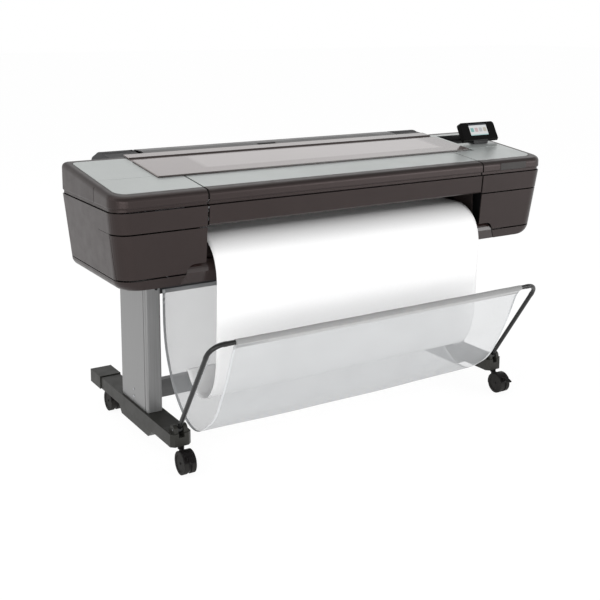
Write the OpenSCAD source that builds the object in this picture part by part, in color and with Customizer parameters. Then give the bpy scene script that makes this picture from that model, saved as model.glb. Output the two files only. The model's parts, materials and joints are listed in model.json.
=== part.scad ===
// Large format plotter on a wheeled stand, with a folding print basket.
// Everything is drawn with y = 0 on the front face of the body, +y to the back and z = 0 on the
// floor. row() moves it so that the origin is on the floor under the middle of the whole machine.

/* [Body] */
// Width over both end modules
body_w = 1802; // [1760:1:1840]
// Depth of the body, front face to rear face
body_d = 482; // [470:1:490]
// Half width of the centre section between the end modules
centre_hw = 579; // [577:1:590]
// Height of the front top edge above the floor
top_front_z = 921; // [915:1:925]
// Rise of the top surface per millimetre of depth
top_slope = 0.12; // [0.1:0.005:0.14]
// How far the sides come in between the top covers and the skirt
side_taper = 25; // [10:1:30]
// How far the front leans back between the top covers and the skirt
front_lean = 22; // [10:1:26]
// Wall thickness of the plastic covers
wall = 3; // [2.5:0.1:3.5]

/* [Media] */
// Width of the paper
paper_w = 1118; // [914:1:1118]
// Radius of the loaded paper roll
roll_r = 56; // [40:1:60]

/* [Stand] */
// Distance of the centre of each leg and foot from the middle
leg_x = 683; // [675:1:688]
// Width of a leg, seen from the front
leg_w = 56; // [50:1:60]
// Depth of a leg, front to back
leg_d = 230; // [220:1:232]
// Width of a foot
foot_w = 74; // [70:1:76]
// Diameter of a caster wheel
wheel_d = 75; // [70:1:76]

/* [Basket] */
// Half width of the basket mesh
mesh_hw = 597; // [580:1:600]
// Diameter of the basket tube
tube_d = 16; // [14:1:18]
// Lean of the basket arms from vertical at rest
arm_lean = 34; // [32:1:36]

/* [Hidden] */
$fn = 48;

// Front-to-back extent of the whole machine: basket sleeve to rear foot caps
rear_reach = 740;

// Levels of the body, from its underside up
skirt_z = 617;       // underside of the body
door_z = 652;        // joint between skirt and ink door
band_z = 804;        // joint between ink door and fixed band, underside of the front beam
cover_z = 873;       // joint between lower body and top covers
joint_gap = 1.6;     // visible gap between neighbouring covers
door_gap = [3, 4.6]; // gap under an ink door, and over it
skirt_gap = 2;       // from the top of a skirt up to door_z
seam = 3.2;          // half the gap between the centre section and an end module
shell_floor = door_z + 1 + wall;
body_hw = body_w / 2;
corner_r = 58;       // vertical front corner radius of an end module
rear_r = 26;         // vertical rear corner radius of an end module

// Window, silver panels and touchscreen on the top surface
lip_y = 41;          // the silver starts this far behind the front face
reveal = 9;          // depth of the shadow groove under the top covers, in front
side_reveal = 4;     // and at the sides
reveal_z = 883;      // top of that groove
flush_z = 889;       // from here up the top covers are flush with the face
panel_bed = 3.4;     // depth of the beds that the silver panels lie in
panel_t = 3.2;       // thickness of a silver panel below the top surface
panel_proud = 0.4;   // and what stands above it
plate = [667, 887];  // lower left corner of the nameplate
plate_size = [131, 26];
rim_r = 16;          // rounding of the top edge, all round the top covers
window_y = [182, 400];
window_hw = 671;
window_top = 6;      // height of the window over the top surface
channel_y = [430, 434];
corner_notch = [[674, 176, 880], [690, 206, 1000]]; // finger room at the window's corner
silver_edge_x = 872;
crease_y = 205;
crease = [2.2, 1.1];  // width and depth of the crease in the silver panels
hinge_drop = 8;      // window hinge axis below the top surface
window_hinge_y = 408;
screen_w = 185;
screen_h = 74;
screen_t = 16;
screen_x = 800;
screen_y = 268;
screen_tilt = 61;
bezel_t = 2.4;       // front plate of the screen, in front of its hinge
bezel_low = -3;      // its lower edge, from the hinge axis
screen_lift = 15.5;  // hinge axis above the top surface
knuckle_hw = 38;

// Paper path
nip_y = 345;
feed_r = 15.5;
pinch_r = 8;
feed_shaft_r = 5;
pinch_shaft_r = 4;
paper_z = 757.9;
paper_t = 0.8;
feed_z = paper_z - 0.4 - feed_r;
pinch_z = paper_z + paper_t + 0.4 + pinch_r;
roll_y = 592;
roll_z = 868;
spindle_r = 24;
journal_r = 10;
running_gap = 0.05;

// Carriage
carriage_x = 700;
rail_y = 320;
rail_r = 8;
rail_z = [800, 885];
pulley_x = 812;
pulley_z = 842;
pulley_r = 14;
belt_t = 2;
belt_slack = 0.3;
belt_y = [330, 340];

// Roll cover hinge, ink door hinge
hood_axis = [493, 961];
ear_r = 8;           // round hinge ears, inside the sweep of the cover's front edge
ear_t = 8;           // thickness of every hinge ear and knuckle on top
hood_ear_x = [520, 552];
hood_knuckle_x = [531, 563];
window_ear_x = [596, 630];
window_knuckle_x = [606, 618];
door_axis = [front_lean + 2, door_z + 4.5];
door_wrap_y = 60;
band_line = [150, 2.2, 1.2]; // joint line on the side, behind the door: where it ends, height, depth
switch_axis = [body_d - 1.5, 705];

// Stand
leg_front = 222;     // front face of a leg
leg_wall = 3.5;
leg_round = 7.5;
foot_z = [82, 126];
foot_y = [12, 640];
pivot = [34, 134];
pin_r = 4;
arm_len = 417;
bar = [pivot[0] - arm_len * sin(arm_lean), pivot[1] + arm_len * cos(arm_lean)];
bend_r = 46;
sleeve_r = 10;
beam_y = [338, 368];
mesh_t = 1.6;
front_reach = bar[0] - sleeve_r;
row_shift = -(front_reach + rear_reach) / 2;

// Casters
wheel_r = wheel_d / 2;
trail = 35;
caster_y = [21, 652];
axle_r = 4;
stem_r = 6;          // swivel stem, standing in the foot
// Caster tread widths: inner and outer faces of each wheel from the caster's middle
wheel_x = [6, 22];
brake_axis = [-trail - 36, 66];
brake_pin_r = 2;
hood_foot = arc([-trail, wheel_r], wheel_r + 1.8, 152, 128, 4);

brown = [0.27, 0.25, 0.24];
silver = [0.72, 0.74, 0.73];
black = [0.06, 0.06, 0.06];
grey = [0.5, 0.5, 0.5];
foot_grey = [0.3, 0.29, 0.28];
steel = [0.6, 0.61, 0.63];
mesh_grey = [0.8, 0.8, 0.8, 0.6];

// ---------- functions ----------
function top_z(y) = top_front_z + top_slope * y;
function side_x(z) = body_hw - side_taper * max(0, cover_z - z) / (cover_z - door_z);
function front_y(z) = front_lean * max(0, cover_z - z) / (cover_z - door_z);
// The rounded top edge: how far it has come in, and its height at y = 0, at angle a of its arc
function rim_in(a) = rim_r * (1 - cos(a));
function rim_z(a) = top_front_z - rim_r * (1 - sin(a));
function unit(v) = v / norm(v);
function arc(c, r, a0, a1, n) =
    [for (i = [0:n]) let (a = a0 + (a1 - a0) * i / n) [c[0] + r * cos(a), c[1] + r * sin(a)]];

// Smooth curve through points (Catmull-Rom), n steps a span
function spline_at(a, b, c, d, t) =
    0.5 * (2 * b + (c - a) * t + (2 * a - 5 * b + 4 * c - d) * t * t
    + (3 * b - a - 3 * c + d) * t * t * t);
function spline(p, n) = let (m = len(p) - 1) concat(
    [for (i = [0:m - 1], k = [0:n - 1])
        spline_at(p[max(i - 1, 0)], p[i], p[i + 1], p[min(i + 2, m)], k / n)], [p[m]]);

// Outline of a strip of thickness t on the left of a path
function seg_normal(p, i) = let (d = unit(p[i + 1] - p[i])) [-d[1], d[0]];
function path_normal(p, i) =
    i == 0 ? seg_normal(p, 0)
    : i == len(p) - 1 ? seg_normal(p, i - 1)
    : let (a = seg_normal(p, i - 1), m = unit(a + seg_normal(p, i))) m / (m * a);
function ribbon(p, t) = concat(p, [for (i = [len(p) - 1:-1:0]) p[i] + t * path_normal(p, i)]);

// Plan of a right-hand part: square inner corners, rounded outer ones
function end_plan(x_in, x_out, y_front, y_rear, r_front, r_rear) = concat(
    [[x_in, y_front]],
    arc([x_out - r_front, y_front + r_front], r_front, -90, 0, 10),
    arc([x_out - r_rear, y_rear - r_rear], r_rear, 0, 90, 6),
    [[x_in, y_rear]]);
function lower_plan(z, inset, x_in) = end_plan(x_in, side_x(z) - inset, front_y(z) + inset,
    body_d - inset, corner_r - inset, rear_r - inset);

// ---------- shape helpers ----------
module row() translate([0, row_shift, 0]) children();
module both() { children(); mirror([1, 0, 0]) children(); }
module box(lo, hi) translate(lo) cube(hi - lo);
// Extrudes a [y, z] profile along x
module along_x(x0, x1) translate([x0, 0, 0]) rotate([90, 0, 90]) linear_extrude(x1 - x0) children();
// Extrudes an [x, z] profile along y
module along_y(y0, y1) translate([0, y1, 0]) rotate([90, 0, 0]) linear_extrude(y1 - y0) children();
module rod_x(x0, x1, y, z, r) translate([x0, y, z]) rotate([0, 90, 0]) cylinder(r = r, h = x1 - x0);
module rod_y(x, y0, y1, z, r) translate([x, y0, z]) rotate([-90, 0, 0]) cylinder(r = r, h = y1 - y0);
// Solid through a stack of plans with equal point counts, lowest first. Tilt is the rise of
// each level per millimetre of y.
module loft(levels, tilt = 0) {
    n = len(levels[0][1]);
    top = n * (len(levels) - 1);
    polyhedron(
        points = [for (l = levels) for (p = l[1]) [p[0], p[1], l[0] + tilt * p[1]]],
        faces = concat([[for (i = [0:n - 1]) i], [for (i = [n - 1:-1:0]) top + i]],
            [for (k = [0:len(levels) - 2], i = [0:n - 1], half = [0, 1])
                let (a = k * n + i, b = k * n + (i + 1) % n)
                half == 0 ? [a, a + n, b + n] : [a, b + n, b]]));
}
// The layer of space between two heights above the sloping top surface
module top_layer(low, high) translate([-1000, 0, top_front_z]) rotate([atan(top_slope), 0, 0])
    translate([0, -60, low]) cube([2000, 620, high - low]);
module prism(z0, z1) translate([0, 0, z0]) linear_extrude(z1 - z0) children();

// ---------- frame and lower body ----------
module chassis() row() color(steel) {
    box([-666, 64, skirt_z + 1], [666, 476, skirt_z + 4]);
    difference() {
        box([-centre_hw - 1, 366, skirt_z + 4], [centre_hw + 1, 470, 720]);
        box([-centre_hw - 2, 369, skirt_z + 7], [centre_hw + 2, 467, 717]);
        box([-560, 360, skirt_z + 20], [560, 400, 700]);
    }
    both() {
        // side plate with the ends of the rails
        difference() {
            box([862, 200, shell_floor], [866, 340, 920]);
            for (z = rail_z) rod_x(860, 868, rail_y, z, rail_r);
        }
        // plate with the bearings of the two roller shafts
        difference() {
            box([606, 330, shell_floor], [610, 362, 780]);
            rod_x(604, 612, nip_y, feed_z, feed_shaft_r + running_gap);
            rod_x(604, 612, nip_y, pinch_z, pinch_shaft_r + running_gap);
        }
        // bracket and stud of a belt pulley
        box([pulley_x - 18, 343, pulley_z - 24], [866, 346, pulley_z + 24]);
        box([862, 340, shell_floor], [866, 343, 920]);
        rod_y(pulley_x, 328, 344, pulley_z, 3);
    }
}
module end_shell() difference() {
    loft([for (z = [door_z + 1, cover_z - joint_gap]) [z, lower_plan(z, 0, centre_hw + seam)]]);
    loft([for (z = [shell_floor, cover_z + 1]) [z, lower_plan(z, wall, centre_hw + seam + wall)]]);
    // doorway, and the slot where carriage, rollers and paper pass through
    box([centre_hw, -10, door_z], [body_hw + 5, door_wrap_y + 2, band_z]);
    box([centre_hw, 170, 715], [centre_hw + 10, 400, cover_z]);
    box([side_x(band_z) - band_line[2], door_wrap_y, band_z - band_line[1]],
        [body_hw + 5, band_line[0], band_z]);
}
module left_end_shell() row() color(brown) mirror([1, 0, 0]) end_shell();
module right_end_shell() row() color(brown) difference() {
    end_shell();
    box([700, body_d - 10, 688], [762, body_d + 5, 722]);
    box([772, body_d - 10, 690], [800, body_d + 5, 720]);
    rod_x(768, 804, switch_axis[0], switch_axis[1], 1 + running_gap);
}
// Underside of an end module, with its bottom edge rounded off
module bottom_skirts() row() color(brown) both() difference() {
    loft(skirt_levels(0, 0));
    loft(skirt_levels(wall, 3));
    along_y(-10, 500) polygon([[560, skirt_z - 5], [s_curve_x(skirt_z - 5), skirt_z - 5],
        [s_curve_x(door_z + 5), door_z + 5], [560, door_z + 5]]);
}
// Radius of the rolled bottom edge: it ends level with the underside of the body
skirt_round = door_z - skirt_gap - skirt_z;
function skirt_levels(inset, up) = [for (i = [0:6]) let (a = 90 - 15 * i,
        dx = skirt_round * (1 - cos(a)), z = door_z - skirt_gap - skirt_round * sin(a) + up)
    [z, end_plan(640 + inset, side_x(door_z) - inset - dx, front_lean + inset + 10 * sin(a),
        body_d - inset - dx * 0.5, corner_r - inset, rear_r - inset)]];
// Inner edge of the skirt, where the apron's wing takes over
function s_curve_x(z) = 652 + 18 * (door_z - z) / (door_z - skirt_z);
wing = concat([[s_curve_x(skirt_z) - 1, skirt_z], [s_curve_x(door_z) - 1, door_z]],
    arc([s_curve_x(door_z) - 31, door_z], 28, 15, 90, 8), [[0, door_z + 28]]);
module wing_outline(grow) offset(delta = grow) polygon(concat(wing,
    [[0, skirt_z]]));

module ink_door() difference() {
    intersection() {
        difference() {
            loft([for (z = [door_z + door_gap[0], band_z - door_gap[1]])
                [z, lower_plan(z, 0, centre_hw + seam)]]);
            loft([for (z = [door_z - 8, band_z + 8]) [z, lower_plan(z, 4, centre_hw - 8)]]);
            box([centre_hw, door_wrap_y, door_z], [body_hw + 5, 600, band_z]);
        }
        rod_x(centre_hw - 5, body_hw + 5, door_axis[0], door_axis[1], band_z - door_z - 5);
    }
    along_y(-10, 100) intersection() {
        wing_outline(joint_gap + 1);
        translate([500, 600]) square([300, 200]);
    }
}
module left_ink_door() row() color(brown) mirror([1, 0, 0]) ink_door();
module right_ink_door() row() color(brown) ink_door();

// Three cartridge slots behind each door
bay_x = [640, 856];
slot_w = (bay_x[1] - bay_x[0]) / 3;
module ink_bays() row() color(black) both() difference() {
    box([bay_x[0] - 3, 68, shell_floor], [bay_x[1] + 3, 186, 796]);
    for (i = [0:2]) box([bay_x[0] + i * slot_w + 1.5, 60, 661],
        [bay_x[0] + (i + 1) * slot_w - 1.5, 183, 793]);
}
module ink_cartridges() row() color([0.12, 0.13, 0.15]) both() for (i = [0:2]) {
    x = bay_x[0] + (i + 0.5) * slot_w;
    box([x - 31, 76, 661.2], [x + 31, 180, 782]);
    box([x - 14, 70, 740], [x + 14, 76, 764]);
}

// ---------- top covers ----------
module top_cover() difference() {
    intersection() {
        loft([for (l = [[cover_z + 1, reveal], [reveal_z, reveal], [reveal_z + 2, 1], [flush_z, 0],
                [1000, 0]])
            [l[0], end_plan(centre_hw + seam, body_hw - min(l[1], side_reveal), l[1], body_d - l[1],
                corner_r - l[1], rear_r - l[1])]]);
        loft([for (l = concat([[top_front_z - 150, 0]], [for (a = [0:15:90]) [rim_z(a), rim_in(a)]]))
            [l[0], end_plan(centre_hw + seam - 1, body_hw - l[1], l[1], body_d - l[1],
                corner_r - l[1], rear_r - l[1])]], top_slope);
    }
    side_groove();
    intersection() {
        loft([for (z = [860, 1000]) [z, end_plan(centre_hw - 9, body_hw - 10, 10, body_d - 10,
            corner_r - 10, rear_r - 10)]]);
        top_layer(-160, -7);
    }
    // bed of the silver panel, and the place of the window and the strip behind it
    intersection() { prism(880, 1000) silver_plan(2); top_layer(-panel_bed, 2); }
    box([560, window_y[0] - 2, 880], [window_hw + 2, body_d - 12, 1000]);
    intersection() { box([560, 400, 880], [window_hw + 2, 500, 1000]); top_layer(-3.4, 20); }
}
// Seam down the outer side, above the reveal
module side_groove() box([body_hw - 4, 163, reveal_z + 3], [body_hw + 5, 166, 1000]);
module silver_plan(grow) offset(delta = grow) difference() {
    polygon(concat([[centre_hw + seam, lip_y]],
        arc([silver_edge_x - 40, lip_y + 40], 40, -90, 0, 8),
        arc([silver_edge_x - 22, 428], 22, 0, 90, 5), [[centre_hw + seam, 450]]));
    translate([centre_hw - 10, window_y[0] - 2]) square([window_hw - centre_hw + 12, 300]);
}
module top_covers() row() color(brown) {
    mirror([1, 0, 0]) top_cover();
    difference() {
        top_cover();
        screen_recess(0.4);
        intersection() { box(corner_notch[0], corner_notch[1]); top_layer(-5.6, 5); }
    }
}
module nameplate() row() color(silver) along_y(-1.2, 0) translate(plate)
    polygon(rounded(plate_size[0], plate_size[1], 3));
module screen_recess(grow) box([700 - grow, 290 - grow, 900], [866 + grow, 424 + grow, 1000]);
module silver_panels() row() color(silver) {
    for (left = [0, 1]) mirror([left, 0, 0]) difference() {
        intersection() {
            prism(880, 1000) silver_plan(0);
            top_layer(-panel_t, panel_proud);
        }
        if (left == 0) {
            screen_recess(0.4);
            box(corner_notch[0], corner_notch[1]);
        }
        // crease in line with the front edge of the window
        intersection() {
            box([600, crease_y, 880], [900, crease_y + crease[0], 1000]);
            top_layer(-crease[1], 5);
        }
    }
    intersection() {
        box([-centre_hw + seam, lip_y + 1, 900], [centre_hw - seam, window_y[0] - 3, 1000]);
        top_layer(0.2 - panel_t, panel_proud);
    }
}
module front_cover() row() color(brown) along_x(-centre_hw + seam, centre_hw - seam)
    polygon(ribbon(concat(
        [[reveal, cover_z + 1], [reveal, reveal_z], [1, reveal_z + 2], [0, flush_z]],
        [for (a = [0:15:90]) [rim_in(a), rim_z(a) + top_slope * rim_in(a)]],
        [[lip_y, top_z(lip_y)], [lip_y, top_z(lip_y) - panel_bed],
        [window_y[0] - 2, top_z(window_y[0]) - 3.6],
        [window_y[0] + 20, top_z(window_y[0] + 20) - 3.6]]), -wall));
module front_beam() row() color(brown) along_x(-centre_hw + seam, centre_hw - seam) polygon(ribbon([
    [62, band_z + 1], [front_y(band_z) + 6, band_z + 1], [front_y(band_z), band_z + 6],
    [0.8, cover_z - joint_gap], [34, cover_z - joint_gap]], -wall));
module output_apron() row() color(black) intersection() {
    along_x(-680, 680) polygon(ribbon(concat([[148, 751], [104, 743]],
        arc([62, 650], 38, 78, 176, 10), [[34, skirt_z]]), 4));
    union() {
        along_y(-10, 90) both() wing_outline(0);
        box([-centre_hw + 1, 20, skirt_z - 1], [centre_hw - 1, 150, 800]);
    }
}
module platen() row() color(black) difference() {
    box([-centre_hw + 2, 150, 730], [centre_hw - 2, 326, 756.9]);
    box([-centre_hw + 6, 154, 729], [centre_hw - 6, 322, 752]);
    for (x = [-550:50:550]) box([x - 18, 165, 755.4], [x + 18, 310, 760]);
}

// ---------- rear: fixed panels, roll supports, roll cover ----------
module rear_top_panel() row() color(brown) difference() {
    union() {
        // channel in which the window's rear edge turns, then a strip level with the window
        along_x(-window_hw, window_hw) polygon(ribbon([[window_y[1] + 4, top_z(window_y[1] + 4)],
            [channel_y[0], top_z(channel_y[0])], [channel_y[1], top_z(channel_y[1]) + window_top],
            [body_d - 1, top_z(body_d - 1) + window_top]], -3.2));
        along_x(-centre_hw + seam, centre_hw - seam) polygon(ribbon([
            [body_d - 4, top_z(body_d) + window_top - 3], [body_d - 2, top_z(body_d) - 8],
            [body_d - 2, 800]], -wall));
        // hinge ears: window in front, roll cover behind
        both() {
            for (x = window_ear_x) box([x, window_hinge_y - 6, top_z(window_hinge_y) - 20],
                [x + ear_t, window_hinge_y + 8, top_z(window_hinge_y) - 3]);
            for (x = hood_ear_x) difference() {
                along_x(x, x + ear_t) polygon(concat([[body_d - 2, hood_axis[1] - 10]],
                    arc(hood_axis, ear_r, -60, 100, 10), [[body_d - 2, hood_axis[1] + ear_r]]));
                rod_x(x - 1, x + ear_t + 1, hood_axis[0], hood_axis[1], pin_r + running_gap);
            }
        }
    }
    both() {
        for (x = window_ear_x) rod_x(x - 1, x + ear_t + 1, window_hinge_y,
            top_z(window_hinge_y) - hinge_drop, 3 + running_gap);
        // notch for the window's knuckles
        box([604.4, 402, 940], [629.6, 426, 1000]);
    }
}
// Rear wall below the paper path, and the trough under the roll
module rear_lower_cover() row() color(brown) along_x(-centre_hw + 2, centre_hw - 2)
    polygon(ribbon(concat([[476, skirt_z + 6], [476, 750], [484, 768]],
        arc([592, 872], 112, 248, 318, 10), [[699, 800]]), wall));
module roll_supports() row() color(black) both() difference() {
    along_x(586, 712) polygon(concat([[body_d, 780], [690, 780], [694, 784]],
        arc([664, 929], 32, 0, 60, 4), arc([600, 899], 84, 60, 110, 6), [[body_d, 971]]));
    along_x(590, 708) polygon([[490, 770], [686, 770], [686, 922], [660, 948], [600, 954], [490, 948]]);
    // open cradle for the spindle journal
    rod_x(580, 600, roll_y, roll_z, journal_r + running_gap);
    box([580, roll_y - journal_r - running_gap, roll_z], [600, roll_y + journal_r + running_gap, 990]);
}
hood_wall = 3.5;
hood_path = concat([[502, 972], [560, 983]], arc([600, 883], 100, 86, 4, 12), [[700, 806]]);
// Height of the cover's outer face over its flat front part
function hood_z(y) = hood_path[0][1]
    + (hood_path[1][1] - hood_path[0][1]) * (y - hood_path[0][0]) / (hood_path[1][0] - hood_path[0][0]);
latch_x = [-96, -14];
latch_y = [518, 550];
module roll_cover() row() color([0.45, 0.45, 0.45]) {
    difference() {
        along_x(-572, 572) polygon(ribbon(hood_path, -hood_wall));
        box([latch_x[0], latch_y[0], 930], [latch_x[1], latch_y[1], 1000]);
    }
    for (y = [latch_y[0] + 9, latch_y[0] + 23])
        box([latch_x[0] - 1, y, hood_z(y) - 8], [latch_x[1] + 1, y + 5, hood_z(y) - 1]);
    both() {
        for (x = hood_knuckle_x) difference() {
            along_x(x, x + ear_t) polygon([[hood_axis[0] - 4, hood_axis[1] - 6], [516, 952], [516, 973],
                [502, 970], [hood_axis[0] - 6, hood_axis[1] + 4]]);
            rod_x(x - 1, x + ear_t + 1, hood_axis[0], hood_axis[1], pin_r + 0.01);
        }
        rod_x(519, 571.5, hood_axis[0], hood_axis[1], pin_r);
    }
}
module window() row() color([0.62, 0.58, 0.57]) {
    intersection() {
        prism(880, 1000) polygon(concat(
            arc([-window_hw + 10, window_y[0] + 10], 10, 180, 270, 4),
            arc([window_hw - 10, window_y[0] + 10], 10, 270, 360, 4),
            [[window_hw, window_y[1]], [-window_hw, window_y[1]]]));
        top_layer(0.8, window_top);
    }
    both() {
        for (x = window_knuckle_x) along_x(x, x + ear_t) polygon([
            [386, top_z(386) + 2], [398, top_z(398) + 2],
            [window_hinge_y + 4, top_z(window_hinge_y) - 5], [window_hinge_y + 3, top_z(window_hinge_y) - 12],
            [window_hinge_y - 8, top_z(window_hinge_y) - 12]]);
        rod_x(597, 637, window_hinge_y, top_z(window_hinge_y) - hinge_drop, 3);
    }
}

// ---------- inside: carriage drive ----------
module carriage_block() difference() {
    union() {
        box([-84, 192, 772], [84, 304, 880]);
        box([-70, 200, 880], [70, 296, 904]);
        for (z = rail_z) box([-84, 300, z - 16], [84, 336, z + 16]);
        box([-20, 325, pulley_z + pulley_r - 7], [20, 343, pulley_z + pulley_r + 14]);
    }
    for (z = rail_z) rod_x(-90, 90, rail_y, z, rail_r + 3);
    box([-25, belt_y[0] - 1, pulley_z + pulley_r - 1.2], [25, 350, pulley_z + pulley_r + belt_t + 1.2]);
    for (i = [0:3]) box([head_x(i), 210, 880], [head_x(i) + 30, 286, 910]);
}
function head_x(i) = -66 + i * 34;
module printheads() row() color(black) translate([carriage_x, 0, 0]) for (i = [0:3])
    box([head_x(i) + 0.5, 210.5, 880], [head_x(i) + 29.5, 285.5, 909]);
module carriage() row() color([0.15, 0.15, 0.16]) translate([carriage_x, 0, 0]) carriage_block();
module carriage_bushings() row() color([0.7, 0.55, 0.3]) for (z = rail_z, s = [-1, 1])
    difference() {
        rod_x(carriage_x + s * 70 - 13, carriage_x + s * 70 + 13, rail_y, z, rail_r + 3);
        rod_x(carriage_x + s * 70 - 15, carriage_x + s * 70 + 15, rail_y, z, rail_r + running_gap);
    }
module carriage_rails() row() color(steel) for (z = rail_z) rod_x(-866, 866, rail_y, z, rail_r);
module belt_loop(y, r) along_y(y[0], y[1]) translate([0, pulley_z]) {
    square([2 * pulley_x, 2 * r], center = true);
    for (s = [-1, 1]) translate([s * pulley_x, 0]) circle(r);
}
module drive_belt() row() color(black) difference() {
    belt_loop(belt_y, pulley_r + belt_t + belt_slack);
    belt_loop([belt_y[0] - 2, belt_y[1] + 2], pulley_r + belt_slack);
}

module pulley(x) difference() {
    union() {
        rod_y(x, belt_y[0], belt_y[1], pulley_z, pulley_r);
        rod_y(x, belt_y[1] + 0.5, belt_y[1] + 2, pulley_z, pulley_r + 3);
        rod_y(x, belt_y[1] - 0.5, belt_y[1] + 1, pulley_z, pulley_r - 2);
    }
    rod_y(x, belt_y[0] - 4, belt_y[1] + 4, pulley_z, 3 + running_gap);
    for (a = [0:60:300]) rotate_about(x, pulley_z, a) rod_y(x + 8.5, belt_y[0] - 2, belt_y[1] + 4,
        pulley_z, 1.6);
}
module rotate_about(x, z, a) translate([x, 0, z]) rotate([0, a, 0]) translate([-x, 0, -z]) children();
module drive_pulley() row() color(steel) pulley(pulley_x);
module idler_pulley() row() color(steel) pulley(-pulley_x);
module service_station() row() color(black) difference() {
    box([618, 198, shell_floor], [764, 296, 764]);
    for (i = [0:3]) box([632 + i * 34, 212, 750], [658 + i * 34, 282, 770]);
}
module electronics_box() row() color(steel) difference() {
    box([-850, 352, shell_floor], [-700, 468, 800]);
    for (i = [0:7]) box([-846 + i * 18, 350, 690], [-840 + i * 18, 356, 770]);
}
// Carriage motor behind the right pulley, and paper motor on the left end of the feed shaft
module motors() row() color([0.2, 0.2, 0.22]) {
    rod_y(pulley_x, 346, 394, pulley_z, 21);
    difference() {
        rod_x(-680, -610, nip_y, feed_z, 20);
        rod_x(-656, -600, nip_y, feed_z, feed_shaft_r + running_gap);
    }
}
// ---------- inside: paper drive ----------
module feed_roller() row() color([0.25, 0.25, 0.25]) {
    rod_x(-572, 572, nip_y, feed_z, feed_r);
    rod_x(-652, 630, nip_y, feed_z, feed_shaft_r);
}
module pinch_rollers() row() color(black) {
    rod_x(-612, 612, nip_y, pinch_z, pinch_shaft_r);
    for (x = [-540:120:540]) rod_x(x - 20, x + 20, nip_y, pinch_z, pinch_r);
}
module spindle() row() color([0.2, 0.3, 0.45]) {
    rod_x(-564, 564, roll_y, roll_z, spindle_r);
    rod_x(-604, 604, roll_y, roll_z, journal_r);
    both() rod_x(paper_w / 2 + 2, paper_w / 2 + 8, roll_y, roll_z, roll_r + 8);
}
module paper_roll() row() color("white") difference() {
    rod_x(-paper_w / 2, paper_w / 2, roll_y, roll_z, roll_r);
    rod_x(-paper_w, paper_w, roll_y, roll_z, spindle_r);
}
// From under the roll through the nip, over the platen, down in front and up in a curl
paper_line = concat(
    [[560, 816], [470, 786], [400, 765]],
    [[370, paper_z]],
    spline([[150, paper_z], [102, 756], [58, 740], [22, 710], [1, 668], [-7, 625], [-6, 570],
        [-2, 480], [2, 400], [8, 330], [26, 262], [64, 210], [114, 186], [162, 193], [200, 220],
        [227, 255]], 5));
module paper_sheet() row() color("white") along_x(-paper_w / 2, paper_w / 2)
    polygon(ribbon(paper_line, -paper_t));

// ---------- control panel and mains ----------
screen_axis_z = top_z(screen_y) + screen_lift;
module screen_base() row() color(black) {
    difference() {
        screen_recess_block(0);
        screen_recess_block(2.5);
    }
    intersection() {
        union() {
            rod_x(screen_x - knuckle_hw, screen_x + knuckle_hw, screen_y, screen_axis_z, screen_t / 2);
            along_x(screen_x - knuckle_hw, screen_x + knuckle_hw) polygon([
                [screen_y - 7, screen_axis_z - 4], [screen_y + 7, screen_axis_z - 4],
                [299, top_z(299) + 1], [299, top_z(299) - 8], [294, top_z(294) - 8],
                [288, top_z(288) + 0.8], [screen_y - 7, top_z(screen_y) + 0.9]]);
        }
        top_layer(0.6, 60);
    }
    box([screen_x - knuckle_hw, 290.2, top_z(290) - 6], [screen_x + knuckle_hw, 299, top_z(290) + 4]);
    rod_x(screen_x - knuckle_hw - 20, screen_x + knuckle_hw + 20, screen_y, screen_axis_z, 3);
}
module screen_recess_block(inset) intersection() {
    box([700 + inset, 290 + inset, 900], [866 - inset, 424 - inset, 1010]);
    top_layer(-26 + inset, inset == 0 ? -0.2 : 30);
}
// Moves from flat to the tilt of the panel at rest: local y runs up the panel, local z out of it
module at_screen() translate([screen_x, screen_y, screen_axis_z]) rotate([screen_tilt, 0, 0])
    children();
module screen_outline(low) polygon(concat(
    arc([screen_w / 2 - 12, screen_h - 12], 12, 0, 90, 6),
    arc([-screen_w / 2 + 12, screen_h - 12], 12, 90, 180, 6),
    [[-screen_w / 2, low], [screen_w / 2, low]]));
module touchscreen() row() color(black) difference() {
    at_screen() difference() {
        union() {
            translate([0, 0, -screen_t / 2]) linear_extrude(screen_t) screen_outline(0);
            translate([0, 0, screen_t / 2]) linear_extrude(bezel_t) screen_outline(bezel_low);
            rod_x(-screen_w / 2, screen_w / 2, 0, 0, screen_t / 2);
        }
        box([-knuckle_hw - 0.6, -20, -20], [knuckle_hw + 0.6, 13, screen_t / 2 + 0.4]);
        rod_x(-knuckle_hw - 22, knuckle_hw + 22, 0, 0, 3 + running_gap);
        // pocket of the power button, in the right-hand edge
        rod_x(screen_w / 2 - 6, screen_w / 2 + 1, 48, 0, 5 + running_gap);
    }
}
module power_button() row() color([0.3, 0.3, 0.3]) at_screen()
    rod_x(screen_w / 2 - 3.5, screen_w / 2 + 1.2, 48, 0, 5);
module power_inlet() row() color(black) difference() {
    union() {
        box([701, body_d - 24, 689], [761, body_d, 721]);
        box([697, body_d, 685], [765, body_d + 2, 725]);
    }
    box([708, body_d - 16, 695], [754, body_d + 5, 715]);
    for (x = [720, 731, 742]) box([x - 1, body_d - 17, 703], [x + 1, body_d - 15, 708]);
}
module power_switch() row() color(black) {
    translate([0, switch_axis[0], switch_axis[1]]) along_x(775, 797)
        polygon([[-2, -12], [4.5, -12], [3, 0], [1, 12], [-4, 12], [-7, 0]]);
    rod_x(770, 802, switch_axis[0], switch_axis[1], 1);
}

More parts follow.
